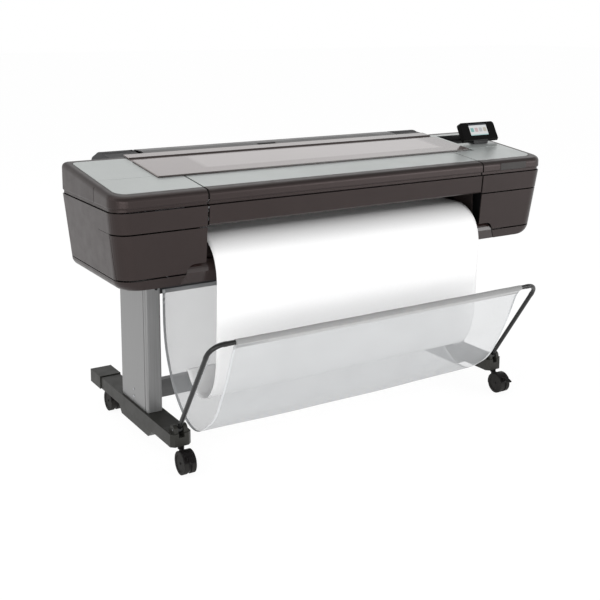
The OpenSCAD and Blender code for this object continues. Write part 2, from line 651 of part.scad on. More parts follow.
// ---------- stand ----------
function rounded(w, d, r) = concat(arc([w - r, d - r], r, 0, 90, 5), arc([r, d - r], r, 90, 180, 5),
    arc([r, r], r, 180, 270, 5), arc([w - r, r], r, 270, 360, 5));
module legs() row() color(grey) both() difference() {
    translate([leg_x - leg_w / 2, leg_front, foot_z[1] + 0.4])
        linear_extrude(skirt_z - foot_z[1] - 0.8) difference() {
            polygon(rounded(leg_w, leg_d, leg_round));
            translate([leg_wall, leg_wall])
                polygon(rounded(leg_w - 2 * leg_wall, leg_d - 2 * leg_wall, leg_round - leg_wall));
            // groove down the outer side, near the front
            translate([leg_w - 1.6, 17]) square([4, 5]);
        }
    // plugged hole in the front face
    rod_y(leg_x - 12, leg_front - 2, leg_front + 12, 560, 5);
}
// A straight hollow beam, with a shallow tray clipped under its middle
foot_wall = 4;
tray_y = [170, 462];
tray_z = 54;
module foot_beam() difference() {
    union() {
        box([-foot_w / 2, foot_y[0] + 58.5, foot_z[0]], [foot_w / 2, foot_y[1] - 6, foot_z[1]]);
        box([-foot_w / 2, foot_y[1] - 7, foot_z[0]], [foot_w / 2, foot_y[1] + 40, foot_z[1] - 6]);
    }
    box([-foot_w / 2 + foot_wall, 180, foot_z[0] + foot_wall],
        [foot_w / 2 - foot_wall, foot_y[1] - 40, foot_z[1] - foot_wall]);
    translate([0, caster_y[1], foot_z[0] - 1]) cylinder(r = stem_r + running_gap, h = 28);
}
module foot_tray() difference() {
    along_x(-foot_w / 2, foot_w / 2) polygon([[tray_y[0], foot_z[0] - 0.3],
        [tray_y[0] + 34, tray_z], [tray_y[1] - 22, tray_z], [tray_y[1], foot_z[0] - 0.3]]);
    along_x(-foot_w / 2 + foot_wall, foot_w / 2 - foot_wall) polygon([[tray_y[0] + 12, foot_z[0] + 1],
        [tray_y[0] + 38, tray_z + foot_wall], [tray_y[1] - 26, tray_z + foot_wall],
        [tray_y[1] - 8, foot_z[0] + 1]]);
}
module foot() translate([leg_x, 0, 0]) {
    foot_beam();
    foot_tray();
}
module feet() row() color(foot_grey) both() foot();
// Sleeve caps over the rear ends of the feet
module foot_end_cap() difference() {
    box([leg_x - foot_w / 2 - 4, foot_y[1], 80], [leg_x + foot_w / 2 + 4, rear_reach, foot_z[1] + 3]);
    box([leg_x - foot_w / 2 - 0.2, foot_y[1] - 1, 70], [leg_x + foot_w / 2 + 0.2, rear_reach - 4,
        foot_z[1] - 1]);
}
// Front ends of the feet: a block with a slot for the basket arm between two round ears
ear_x = [10, 24];
module foot_front_cap() translate([leg_x, 0, 0]) difference() {
    union() {
        prism(foot_z[0], foot_z[1]) polygon([[-foot_w / 2 + 12, foot_y[0]], [foot_w / 2 - 12, foot_y[0]],
            [foot_w / 2, foot_y[0] + 12], [foot_w / 2, foot_y[0] + 58], [-foot_w / 2, foot_y[0] + 58],
            [-foot_w / 2, foot_y[0] + 12]]);
        for (s = [-1, 1]) along_x(min(s * ear_x[0], s * ear_x[1]), max(s * ear_x[0], s * ear_x[1]))
            polygon(concat([[foot_y[0] + 4, foot_z[1] - 1]], arc(pivot, 17, 180, 20, 10),
                [[foot_y[0] + 50, foot_z[1] - 1]]));
    }
    box([-ear_x[0], 0, pivot[1] - 22], [ear_x[0], foot_y[0] + 60, 170]);
    rod_x(-25, 25, pivot[0], pivot[1], pin_r);
    translate([0, caster_y[0], foot_z[0] - 1]) cylinder(r = stem_r + running_gap, h = 27);
}
module foot_caps() row() color(foot_grey) both() {
    foot_end_cap();
    foot_front_cap();
}
module basket_pins() row() color(steel) both()
    rod_x(leg_x - ear_x[1] + 1, leg_x + ear_x[1] - 1, pivot[0], pivot[1], pin_r);
module lower_crossbar() row() color(grey) difference() {
    box([-leg_x + 28.4, 326, 130], [leg_x - 28.4, 356, 194]);
    box([-leg_x, 329, 133], [leg_x, 353, 191]);
}
module upper_crossbeam() row() color([0.2, 0.2, 0.21]) difference() {
    box([-leg_x + 28.4, beam_y[0], 505], [leg_x - 28.4, beam_y[1], skirt_z - 1]);
    box([-leg_x, beam_y[0] + 3, 508], [leg_x, beam_y[1] - 3, skirt_z - 4]);
}
module screws() row() color(steel) both() {
    for (z = [584, 566]) rod_x(leg_x + 28, leg_x + 30.5, leg_front + 46, z, 4.5);
    for (z = [150, 176]) rod_x(leg_x + 28, leg_x + 30.5, 341, z, 4.5);
    for (p = [[620, 690], [850, 690], [740, 840], [862, 840]])
        rod_y(p[0], body_d, body_d + 2.2, p[1], 4);
}

// ---------- basket ----------
module at_frame_plane() translate([0, pivot[0], pivot[1]]) rotate([90 + arm_lean, 0, 0]) children();
module basket_frame() row() color(black) at_frame_plane() {
    both() {
        translate([leg_x, 9, 0]) rotate([-90, 0, 0]) cylinder(d = tube_d, h = arm_len - bend_r - 9.3);
        translate([leg_x - bend_r, arm_len - bend_r, 0]) rotate_extrude(angle = 90)
            translate([bend_r, 0]) circle(d = tube_d);
        // collars where the bend joins the arm and the front bar
        translate([leg_x, arm_len - bend_r - 12, 0]) rotate([-90, 0, 0])
            cylinder(d = tube_d + 1.2, h = 12);
        rod_x(leg_x - bend_r - 12, leg_x - bend_r, arm_len, 0, tube_d / 2 + 0.6);
        difference() {
            rod_x(leg_x - 9, leg_x + 9, 0, 0, 12);
            rod_x(leg_x - 12, leg_x + 12, 0, 0, pin_r + running_gap);
        }
    }
    rod_x(-leg_x + bend_r + 1, leg_x - bend_r - 1, arm_len, 0, tube_d / 2);
}
front_mesh_line = spline([[bar[0] + 1, bar[1] - sleeve_r + 0.6], [-181, 446], [-152, 376],
    [-122, 310], [-90, 248], [-60, 194], [-26, 153], [17, 120]], 3);
rear_mesh_line = spline([[18, 119], [60, 92], [112, 83], [172, 101], [240, 156], [290, 230],
    [322, 310], [335.5, 400], [335.5, 536]], 5);
module basket_front_mesh() row() color(mesh_grey) {
    along_x(-mesh_hw, mesh_hw) polygon(ribbon(front_mesh_line, mesh_t));
    difference() {
        rod_x(-mesh_hw, mesh_hw, bar[0], bar[1], sleeve_r);
        rod_x(-mesh_hw - 1, mesh_hw + 1, bar[0], bar[1], tube_d / 2 + 0.3);
    }
}
module basket_rear_mesh() row() color(mesh_grey) along_x(-mesh_hw, mesh_hw)
    polygon(ribbon(rear_mesh_line, mesh_t));

// ---------- casters: twin wheels under a hood, with a brake pedal on the front pair ----------
module at_caster(side, end) translate([side * leg_x, caster_y[end], 0]) children();
module caster_housing(brake) color(black) difference() {
    union() {
        if (brake) for (s = [-1, 1]) {
            along_x(min(s * 10, s * 13), max(s * 10, s * 13)) polygon(concat(
                arc(brake_axis, 4.5, 40, 250, 6), hood_foot));
        }
        if (brake) rod_x(-13, 13, brake_axis[0], brake_axis[1], brake_pin_r);
        rod_x(-5, 5, -trail, wheel_r, wheel_r - 3);
        intersection() {
            difference() {
                rod_x(-21, 21, -trail, wheel_r, wheel_r + 3);
                for (s = [-1, 1]) translate([s * 14, 0, 0])
                    rod_x(-9.5, 9.5, -trail, wheel_r, wheel_r + 1);
            }
            along_x(-30, 30) polygon([[-trail - 42, 52], [-trail + 6, 30], [-trail + 50, 30],
                [-trail + 50, 90], [-trail - 42, 90]]);
        }
        translate([0, 0, 48]) cylinder(r = 4.9, h = 28);
        along_x(-4.8, 4.8) polygon([[-trail, 60], [4, 46], [6, 74], [-trail, 74]]);
        translate([0, 0, 72]) cylinder(r = 11, h = foot_z[0] - 72.6);
        translate([0, 0, 74]) cylinder(r = stem_r, h = 32);
    }
    rod_x(-30, 30, -trail, wheel_r, axle_r + running_gap);
}
module caster_wheels() color([0.12, 0.11, 0.11]) {
    rod_x(-wheel_x[1] - 1, wheel_x[1] + 1, -trail, wheel_r, axle_r);
    for (s = [0, 1]) mirror([s, 0, 0]) difference() {
        rod_x(wheel_x[0], wheel_x[1], -trail, wheel_r, wheel_r);
        rod_x(wheel_x[1] - 2, wheel_x[1] + 1, -trail, wheel_r, wheel_r - 9);
        rod_x(wheel_x[0] - 1, wheel_x[1] + 3, -trail, wheel_r, axle_r);
    }
}
module caster_brake() color(black) difference() {
    union() {
        rod_x(-9, 9, brake_axis[0], brake_axis[1], 4.5);
        along_x(-9, 9) polygon([[brake_axis[0] - 1, brake_axis[1] + 4], [brake_axis[0] - 25, 60],
            [brake_axis[0] - 26, 56], [brake_axis[0] - 2, brake_axis[1] - 4]]);
    }
    rod_x(-12, 12, brake_axis[0], brake_axis[1], brake_pin_r + running_gap);
}
module caster_fl_housing() row() at_caster(-1, 0) caster_housing(true);
module caster_fr_housing() row() at_caster(1, 0) caster_housing(true);
module caster_rl_housing() row() at_caster(-1, 1) caster_housing(false);
module caster_rr_housing() row() at_caster(1, 1) caster_housing(false);
module caster_fl_wheels() row() at_caster(-1, 0) caster_wheels();
module caster_fr_wheels() row() at_caster(1, 0) caster_wheels();
module caster_rl_wheels() row() at_caster(-1, 1) caster_wheels();
module caster_rr_wheels() row() at_caster(1, 1) caster_wheels();
module caster_fl_brake() row() at_caster(-1, 0) caster_brake();
module caster_fr_brake() row() at_caster(1, 0) caster_brake();

chassis();
left_end_shell();
right_end_shell();
bottom_skirts();
top_covers();
silver_panels();
nameplate();
front_cover();
front_beam();
output_apron();
platen();
rear_top_panel();
rear_lower_cover();
roll_supports();
roll_cover();
window();
left_ink_door();
right_ink_door();
ink_bays();
ink_cartridges();
service_station();
electronics_box();
motors();
carriage();
printheads();
carriage_bushings();
carriage_rails();
drive_belt();
drive_pulley();
idler_pulley();
feed_roller();
pinch_rollers();
spindle();
paper_roll();
paper_sheet();
screen_base();
touchscreen();
power_button();
power_inlet();
power_switch();
legs();
feet();
foot_caps();
lower_crossbar();
upper_crossbeam();
basket_frame();
basket_pins();
basket_front_mesh();
basket_rear_mesh();
screws();
caster_fl_housing();
caster_fl_wheels();
caster_fl_brake();
caster_fr_housing();
caster_fr_wheels();
caster_fr_brake();
caster_rl_housing();
caster_rl_wheels();
caster_rr_housing();
caster_rr_wheels();
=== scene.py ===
"""Looks for the large format plotter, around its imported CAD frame.

Shapes are in millimetres in the CAD's own drawing coordinates (x across, y back from the body's
front face, z up from the floor), and point() turns them into the frame. The camera, the lights and
the places that a material reads are in metres, in the frame itself.
"""
import json
import math

import bpy
from mathutils import Matrix, Vector


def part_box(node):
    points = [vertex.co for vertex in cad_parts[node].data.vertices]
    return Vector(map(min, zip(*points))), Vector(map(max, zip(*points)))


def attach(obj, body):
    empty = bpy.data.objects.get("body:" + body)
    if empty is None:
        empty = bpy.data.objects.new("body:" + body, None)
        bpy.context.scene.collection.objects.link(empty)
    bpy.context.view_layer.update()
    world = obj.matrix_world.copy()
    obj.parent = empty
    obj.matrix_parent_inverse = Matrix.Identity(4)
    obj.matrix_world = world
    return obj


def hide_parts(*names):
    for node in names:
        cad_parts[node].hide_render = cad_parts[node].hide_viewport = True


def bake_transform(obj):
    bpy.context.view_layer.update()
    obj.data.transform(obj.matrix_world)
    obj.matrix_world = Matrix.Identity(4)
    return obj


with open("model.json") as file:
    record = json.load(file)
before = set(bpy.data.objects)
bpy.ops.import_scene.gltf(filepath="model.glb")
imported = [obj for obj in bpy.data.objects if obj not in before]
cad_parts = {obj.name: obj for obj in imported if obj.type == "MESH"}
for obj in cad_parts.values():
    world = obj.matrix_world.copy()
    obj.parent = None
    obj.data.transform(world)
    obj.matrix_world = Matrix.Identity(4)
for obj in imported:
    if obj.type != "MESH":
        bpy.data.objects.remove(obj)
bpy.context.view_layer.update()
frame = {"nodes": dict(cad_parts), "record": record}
nodes = frame["nodes"]
MM = 0.001
BODY_DEPTH = 482
# Where the body's front face is in the frame, whose own y = 0 is under the middle of the machine
FRONT_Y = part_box("right_end_shell")[1].y - BODY_DEPTH * MM

# A Mix node has several sockets called A, B and Result; these are the colour ones
MIX_FROM, MIX_TO, MIX_RESULT = 6, 7, 2


# ---------- materials ----------
class Shader:
    """A node material built around one Principled shader, with softened edges."""

    def __init__(self, name, color, rough, metal=0.0, edge=0.9):
        self.material = bpy.data.materials.new(name)
        self.material.use_nodes = True
        self.tree = self.material.node_tree
        self.shader = self.tree.nodes["Principled BSDF"]
        self.rough = rough
        self.set("Metallic", metal)
        self.set("Roughness", rough)
        self.set("Base Color", (*color, 1))
        self.place = self.node("ShaderNodeTexCoord").outputs["Object"]
        self.color_out = self.node("ShaderNodeRGB").outputs["Color"]
        self.color_out.default_value = (*color, 1)
        self.round_normal = None
        if edge:
            rounding = self.node("ShaderNodeBevel", samples=4)
            rounding.inputs["Radius"].default_value = edge * MM
            self.round_normal = rounding.outputs["Normal"]
            self.link(self.round_normal, self.shader.inputs["Normal"])

    def node(self, kind, **settings):
        made = self.tree.nodes.new(kind)
        for key, value in settings.items():
            setattr(made, key, value)
        return made

    def set(self, socket, value):
        self.shader.inputs[socket].default_value = value
        return self

    def link(self, a, b):
        self.tree.links.new(a, b)

    def math(self, operation, a, b=None):
        made = self.node("ShaderNodeMath", operation=operation)
        for slot, value in zip(made.inputs, (a, b)):
            if value is None:
                continue
            if isinstance(value, (int, float)):
                slot.default_value = value
            else:
                self.link(value, slot)
        return made.outputs["Value"]

    def noise(self, scale, detail=3.0, stretch=None):
        """The Fac of a noise texture, on coordinates stretched along each axis."""
        texture = self.node("ShaderNodeTexNoise")
        texture.inputs["Scale"].default_value = scale
        texture.inputs["Detail"].default_value = detail
        source = self.place
        if stretch:
            mapping = self.node("ShaderNodeMapping")
            mapping.inputs["Scale"].default_value = stretch
            self.link(source, mapping.inputs["Vector"])
            source = mapping.outputs["Vector"]
        self.link(source, texture.inputs["Vector"])
        return texture.outputs["Fac"]

    def remap(self, fac, low, high, start=0.0, end=1.0):
        """fac from start to end becomes low to high, and stays there past either end."""
        ramp = self.node("ShaderNodeMapRange")
        for socket, value in (("From Min", start), ("From Max", end), ("To Min", low), ("To Max", high)):
            ramp.inputs[socket].default_value = value
        self.link(fac, ramp.inputs["Value"])
        return ramp.outputs["Result"]

    def tint(self, fac, color):
        """Moves the colour towards another where fac is 1."""
        mix = self.node("ShaderNodeMix", data_type="RGBA")
        self.link(fac, mix.inputs["Factor"])
        self.link(self.color_out, mix.inputs[MIX_FROM])
        mix.inputs[MIX_TO].default_value = (*color, 1)
        self.color_out = mix.outputs[MIX_RESULT]
        self.link(self.color_out, self.shader.inputs["Base Color"])
        return self

    def vary_color(self, fac, amount):
        """Lets the brightness drift by amount either way, as moulded or painted surfaces do."""
        shift = self.node("ShaderNodeHueSaturation")
        self.link(self.remap(fac, 1 - amount, 1 + amount, 0.3, 0.7), shift.inputs["Value"])
        self.link(self.color_out, shift.inputs["Color"])
        self.color_out = shift.outputs["Color"]
        self.link(self.color_out, self.shader.inputs["Base Color"])
        return self

    def vary_rough(self, fac, amount):
        self.link(self.remap(fac, self.rough - amount, self.rough + amount, 0.3, 0.7),
                  self.shader.inputs["Roughness"])
        return self

    def bump(self, fac, strength, distance=1.0):
        bump = self.node("ShaderNodeBump")
        bump.inputs["Strength"].default_value = strength
        bump.inputs["Distance"].default_value = distance * MM
        self.link(fac, bump.inputs["Height"])
        if self.round_normal:
            self.link(self.round_normal, bump.inputs["Normal"])
        self.link(bump.outputs["Normal"], self.shader.inputs["Normal"])
        return self

    def worn_and_highlit_edges(self, color, amount=0.5):
        """Lightens the sharp edges: partly wear, where handling polishes the grain away, and partly a painted
        highlight along them.
        """
        flat = self.node("ShaderNodeNewGeometry").outputs["Normal"]
        agree = self.node("ShaderNodeVectorMath", operation="DOT_PRODUCT")
        self.link(self.round_normal, agree.inputs[0])
        self.link(flat, agree.inputs[1])
        self.tint(self.remap(agree.outputs["Value"], amount, 0.0, 0.8, 0.99), color)
        return self

    def between(self, axis, low, high, soft):
        """1 between two places along an object axis, in metres, fading over soft."""
        split = self.node("ShaderNodeSeparateXYZ")
        self.link(self.place, split.inputs["Vector"])
        along = split.outputs[axis]
        rise = self.remap(along, 0.0, 1.0, low - soft, low + soft)
        fall = self.remap(along, 1.0, 0.0, high - soft, high + soft)
        return self.math("MULTIPLY", rise, fall)


PLASTIC_GRAIN = 900


def textured_plastic(name, color, rough, edge_wear_and_highlight=0.35, shine=0.3, warm=(1, 1, 1)):
    """Moulded plastic. Its sheen is weak, and takes on the colour of the pigment where that is warm."""
    m = Shader(name, color, rough)
    m.set("Specular IOR Level", shine).set("Specular Tint", (*warm, 1))
    m.vary_color(m.noise(7), 0.05).vary_color(m.noise(420, 2), 0.05).vary_rough(m.noise(25), 0.04)
    # sharp edges lightened: partly wear, partly a painted highlight along them
    m.worn_and_highlit_edges(tuple(min(1, 1.9 * c + 0.03) for c in color), edge_wear_and_highlight)
    return m.bump(m.noise(PLASTIC_GRAIN, 2), 0.10, 0.3)


def flecked_paint(name, color, rough, metal=0.6, fleck=0.10):
    """Metallic paint: fine bright flecks in a slow drift of tone."""
    m = Shader(name, color, rough, metal)
    m.vary_color(m.noise(1500, 1), fleck).vary_color(m.noise(3), 0.03).vary_rough(m.noise(12), 0.04)
    # sharp edges lightened: partly wear, partly a painted highlight along them
    m.worn_and_highlit_edges(tuple(min(1, 1.5 * c + 0.03) for c in color), 0.45)
    return m.bump(m.noise(1200, 1), 0.05, 0.2)


def brushed(name, color, along, rough=0.32, metal=0.85):
    """Metal with fine marks along one axis: 0, 1 or 2."""
    m = Shader(name, color, rough, metal)
    across_marks, along_marks = 420.0, 5.0
    stretch = [across_marks] * 3
    stretch[along] = along_marks
    marks = m.noise(1.0, 4, stretch)
    return m.vary_color(marks, 0.10).vary_rough(marks, 0.06).bump(marks, 0.08, 0.2)


def gloss(name, color, rough, coat=0.5, shine=0.35):
    """Smooth enamel, glossy plastic or glass, under a clear coat where it has one."""
    m = Shader(name, color, rough)
    m.set("Specular IOR Level", shine)
    m.set("Coat Weight", coat).set("Coat Roughness", 0.05)
    return m.vary_color(m.noise(4), 0.05).vary_rough(m.noise(40), 0.02)


def paper(name):
    """Matt coated paper: faint fibre clouds and a very fine tooth."""
    m = Shader(name, (0.93, 0.93, 0.93), 0.62, edge=0)
    m.vary_color(m.noise(140, 5), 0.010).vary_color(m.noise(2.2, 1), 0.006)
    return m.bump(m.noise(1600, 2), 0.06, 0.15)


RING_RATE = 5200    # radians of a sine for each metre of radius: one ring every 1.2 mm


def rolled_paper(name):
    """The ends of a paper roll show its turns as fine rings round the roll's axis."""
    m = Shader(name, (0.86, 0.86, 0.85), 0.65)
    centre = node_centre("paper_roll")
    rings = m.node("ShaderNodeVectorMath", operation="DISTANCE")
    flatten = m.node("ShaderNodeMapping")
    flatten.inputs["Scale"].default_value = (0, 1, 1)
    m.link(m.place, flatten.inputs["Vector"])
    m.link(flatten.outputs["Vector"], rings.inputs[0])
    rings.inputs[1].default_value = (0, centre.y, centre.z)
    turns = m.math("SINE", m.math("MULTIPLY", rings.outputs["Value"], RING_RATE))
    return m.vary_color(m.remap(turns, 0.3, 0.7, -1, 1), 0.05).bump(turns, 0.15, 0.15)


def rubber(name, color):
    """Matt rubber, or anything else with a soft, uneven skin."""
    m = Shader(name, color, 0.7)
    m.set("Specular IOR Level", 0.2)
    m.vary_color(m.noise(60), 0.15)
    return m.bump(m.noise(700, 3), 0.2, 0.4)


def weave(m, pitch):
    """1 on the threads and 0 in the holes of a square weave laid on the UV map, in metres."""
    split = m.node("ShaderNodeSeparateXYZ")
    m.link(m.node("ShaderNodeUVMap").outputs["UV"], split.inputs["Vector"])
    threads = [m.math("ABSOLUTE", m.math("SINE", m.math("MULTIPLY", split.outputs[axis], math.pi / pitch)))
               for axis in ("X", "Y")]
    return m.math("MAXIMUM", *threads)


NET_PITCH, BAND_PITCH = 2.1 * MM, 1.1 * MM


def open_mesh(name):
    """Woven netting: threads both ways, with light passing through the holes."""
    m = Shader(name, (0.47, 0.48, 0.49), 0.55, edge=0)
    threads = weave(m, NET_PITCH)
    m.link(m.remap(threads, 0.30, 0.68, 0.55, 0.95), m.shader.inputs["Alpha"])
    return m.vary_color(m.noise(9), 0.05).bump(threads, 0.3, 0.3)


def woven_band(name, color):
    """Dense woven tape, as used for a sleeve or a hem."""
    m = Shader(name, color, 0.75, edge=0)
    threads = weave(m, BAND_PITCH)
    m.set("Sheen Weight", 0.25)
    return m.vary_color(threads, 0.10).vary_color(m.noise(30), 0.04).bump(threads, 0.35, 0.25)


def node_centre(name):
    low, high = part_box(name)
    return (low + high) / 2


CLEAR_X, CLEAR_Y = (-467, 570), (240, 392)    # the clearer part of the window
PAINTED_SHADE_X = (300, 670)                         # where painted shade darkens the window towards its right end, for the weaker reflection there


def smoked_window(name):
    """Glossy mauve acrylic: darker at its front edge, with a clearer middle, and painted shade towards its
    right end for the weaker reflection there.
    """
    m = Shader(name, (0.255, 0.222, 0.217), 0.16)
    m.set("Coat Weight", 0.35).set("Coat Roughness", 0.06)
    across = m.node("ShaderNodeSeparateXYZ")
    m.link(m.place, across.inputs["Vector"])
    # painted shade: the colour darkens towards the right end, standing in for the weaker reflection there
    painted_shade = m.remap(across.outputs["X"], 0.0, 0.55, PAINTED_SHADE_X[0] * MM, PAINTED_SHADE_X[1] * MM)
    m.tint(painted_shade, (0.07, 0.058, 0.055))
    clear = m.math("MULTIPLY", m.between("X", CLEAR_X[0] * MM, CLEAR_X[1] * MM, 12 * MM),
                   m.between("Y", FRONT_Y + CLEAR_Y[0] * MM, FRONT_Y + CLEAR_Y[1] * MM, 8 * MM))
    m.tint(m.math("MULTIPLY", clear, 0.7), (0.42, 0.385, 0.378))
    faces = m.node("ShaderNodeSeparateXYZ")
    m.link(m.node("ShaderNodeTexCoord").outputs["Normal"], faces.inputs["Vector"])
    m.tint(m.remap(faces.outputs["Y"], 1.0, 0.0, -0.8, -0.35), (0.035, 0.026, 0.024))
    return m.vary_color(m.noise(3), 0.03).vary_rough(m.noise(30), 0.02)


body_plastic = textured_plastic("BodyPlastic", (0.018, 0.0142, 0.0134), 0.33, shine=0.34,
                                warm=(1.0, 0.80, 0.79))
silver = flecked_paint("SilverPanel", (0.49, 0.515, 0.505), 0.32, 0.60, 0.03)
window_acrylic = smoked_window("SmokedWindow")
apron_gloss = gloss("ApronGloss", (0.022, 0.013, 0.012), 0.15)
inner = textured_plastic("InnerPlastic", (0.012, 0.012, 0.013), 0.5)
hood_paint = flecked_paint("HoodPaint", (0.110, 0.108, 0.108), 0.42, 0.3)
steel = brushed("BrushedSteel", (0.5, 0.51, 0.53), 0)
bronze = flecked_paint("SinteredBronze", (0.45, 0.3, 0.13), 0.5)
black_rubber = rubber("BlackRubber", (0.014, 0.014, 0.014))
tread = rubber("CasterTread", (0.014, 0.013, 0.012))
leg_metal = brushed("AnodisedLeg", (0.235, 0.235, 0.235), 2, 0.38, 0.55)
bar_metal = brushed("AnodisedBar", (0.105, 0.105, 0.105), 0, 0.42, 0.45)
foot_paint = textured_plastic("FootPaint", (0.024, 0.0235, 0.0205), 0.45, shine=0.22)
beam_paint = textured_plastic("BeamPaint", (0.03, 0.03, 0.032), 0.5)
tube_paint = gloss("TubeEnamel", (0.008, 0.008, 0.008), 0.24, 0.12)
caster_plastic = textured_plastic("CasterPlastic", (0.007, 0.006, 0.006), 0.4, edge_wear_and_highlight=0.2, shine=0.15)
screen_black = gloss("ScreenBezel", (0.002, 0.002, 0.002), 0.3, 0.0, 0.08)
spindle_plastic = textured_plastic("SpindlePlastic", (0.03, 0.07, 0.16), 0.45)
roll_paper = rolled_paper("RolledPaper")
web_paper = paper("Paper")
netting = open_mesh("Netting")
sleeve_cloth = woven_band("SleeveCloth", (0.24, 0.24, 0.24))
hem_cloth = woven_band("HemCloth", (0.36, 0.36, 0.36))
side_hem_cloth = woven_band("SideHemCloth", (0.50, 0.51, 0.52))
thread = rubber("StitchThread", (0.20, 0.20, 0.20))
latch_black = textured_plastic("LatchPlastic", (0.004, 0.004, 0.004), 0.5, edge_wear_and_highlight=0.1, shine=0.1)
plate_paint = textured_plastic("NameplatePaint", (0.034, 0.031, 0.030), 0.45, shine=0.25)

BY_SLOT = {
    "body_plastic": body_plastic, "silver": silver, "window": window_acrylic,
    "apron": apron_gloss, "inner_plastic": inner, "hood": hood_paint, "steel": steel,
    "bearing": bronze, "rubber": black_rubber, "paper": roll_paper, "leg": leg_metal,
    "foot": foot_paint, "beam": beam_paint, "tube": tube_paint, "mesh": netting,
    "caster": caster_plastic, "tread": tread, "screen": screen_black,
    "spindle": spindle_plastic,
}
OWN_FINISH = {"lower_crossbar": bar_metal, "nameplate": plate_paint}
for part in frame["record"]["subparts"]:
    finish = OWN_FINISH.get(part["node"], BY_SLOT[part["material_slot"]])
    target = nodes[part["node"]]
    target.data.materials.clear()
    target.data.materials.append(finish.material)


# ---------- shape helpers ----------
def point(x, y, z):
    """A place in the drawing, in millimetres, as a place in the frame, in metres."""
    return Vector((x * MM, FRONT_Y + y * MM, z * MM))


def new_piece(name, verts, faces, finish, body, slot, uvs=None, smooth=True):
    """A mesh piece riding on a body, or on none."""
    mesh = bpy.data.meshes.new(name)
    mesh.from_pydata([tuple(v) for v in verts], [], faces)
    mesh.update()
    mesh.materials.append(finish.material)
    if uvs:
        layer = mesh.uv_layers.new(name="UVMap")
        for loop in mesh.loops:
            layer.data[loop.index].uv = uvs[loop.vertex_index]
    for polygon in mesh.polygons:
        polygon.use_smooth = smooth
    made = bpy.data.objects.new(name, mesh)
    bpy.context.scene.collection.objects.link(made)
    if body:
        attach(made, body)
    return made


def smooth_line(points, steps):
    """Catmull-Rom curve through the points."""
    line = []
    last = len(points) - 1
    for i in range(last):
        a, b, c, d = (Vector(points[min(max(k, 0), last)]) for k in (i - 1, i, i + 1, i + 2))
        for k in range(steps):
            t = k / steps
            line.append(0.5 * (2 * b + (c - a) * t + (2 * a - 5 * b + 4 * c - d) * t ** 2
                               + (3 * b - a - 3 * c + d) * t ** 3))
    return line + [Vector(points[-1])]


def first_stretch(line, length):
    """The start of a line, cut off after a length."""
    kept = [line[0]]
    for point_now in line[1:]:
        step = (point_now - kept[-1]).length
        if step >= length:
            return kept + [kept[-1].lerp(point_now, length / step)]
        kept.append(point_now)
        length -= step
    return kept


def grid_faces(rows, columns, wrap=False):
    """Quads over rows by columns of points; wrap joins the last column to the first."""
    across = columns if wrap else columns - 1
    return [(r * columns + c, r * columns + (c + 1) % columns,
             (r + 1) * columns + (c + 1) % columns, (r + 1) * columns + c)
            for r in range(rows - 1) for c in range(across)]


def swept_sheet(line, x_low, x_high, columns, shift=lambda x, v: (0, 0)):
    """A sheet along x from a [y, z] line; shift(x, v) moves a point by [y, z]."""
    verts, uvs = [], []
    along = 0.0
    for row, place in enumerate(line):
        if row:
            along += (place - line[row - 1]).length
        for column in range(columns + 1):
            x = x_low + (x_high - x_low) * column / columns
            dy, dz = shift(x, row / (len(line) - 1))
            verts.append(point(x, place.x + dy, place.y + dz))
            uvs.append((x * MM, along * MM))
    return verts, grid_faces(len(line), columns + 1), uvs


def thicken(piece, thickness):
    """Gives a sheet its thickness, half on each side."""
    layer = piece.modifiers.new("thickness", "SOLIDIFY")
    layer.thickness = thickness * MM
    layer.offset = 0


def turned(centre, direction, profile, segments=24, hexagon_from=None):
    """A closed turned solid: (radius, height) points round a direction, as verts and faces.

    Rings from hexagon_from on are six-sided, as a socket in a screw head is.
    """
    axis = Vector(direction).normalized()
    side = axis.orthogonal().normalized()
    other = axis.cross(side)
    verts = []
    for index, (radius, height) in enumerate(profile):
        for k in range(segments):
            a = 2 * math.pi * k / segments
            r = radius
            if hexagon_from is not None and index >= hexagon_from:
                r *= math.cos(math.pi / 6) / math.cos(a % (math.pi / 3) - math.pi / 6)
            verts.append(centre + (axis * height + side * (r * math.cos(a)) + other * (r * math.sin(a))) * MM)
    faces = grid_faces(len(profile), segments, wrap=True)
    faces.append(tuple(range(segments - 1, -1, -1)))
    top = len(verts) - segments
    faces.append(tuple(range(top, top + segments)))
    return verts, faces


def joined(shapes):
    """Several (verts, faces) shapes as one."""
    verts, faces = [], []
    for more, their_faces in shapes:
        base = len(verts)
        verts += more
        faces += [tuple(base + i for i in face) for face in their_faces]
    return verts, faces


def rounded_plate(place, u, v, w, radius, chamfer=0.3):
    """A plate with round corners between u, v and w limits; place(u, v, w) puts a point in the frame."""
    corner_steps = 6

    def ring(inset, height):
        points = []
        for cu, cv, start in ((u[1], v[1], 0), (u[0], v[1], 90), (u[0], v[0], 180), (u[1], v[0], 270)):
            mid_u = cu - math.copysign(radius, cu - (u[0] + u[1]) / 2)
            mid_v = cv - math.copysign(radius, cv - (v[0] + v[1]) / 2)
            for k in range(corner_steps + 1):
                a = math.radians(start + 90 * k / corner_steps)
                reach = radius - inset
                points.append(place(mid_u + reach * math.cos(a), mid_v + reach * math.sin(a), height))
        return points

    rings = [ring(0, w[0]), ring(0, w[1] - chamfer), ring(chamfer, w[1])]
    count = len(rings[0])
    verts = [p for each in rings for p in each]
    faces = grid_faces(3, count, wrap=True)
    faces.append(tuple(range(count - 1, -1, -1)))
    faces.append(tuple(range(2 * count, 3 * count)))
    return verts, faces


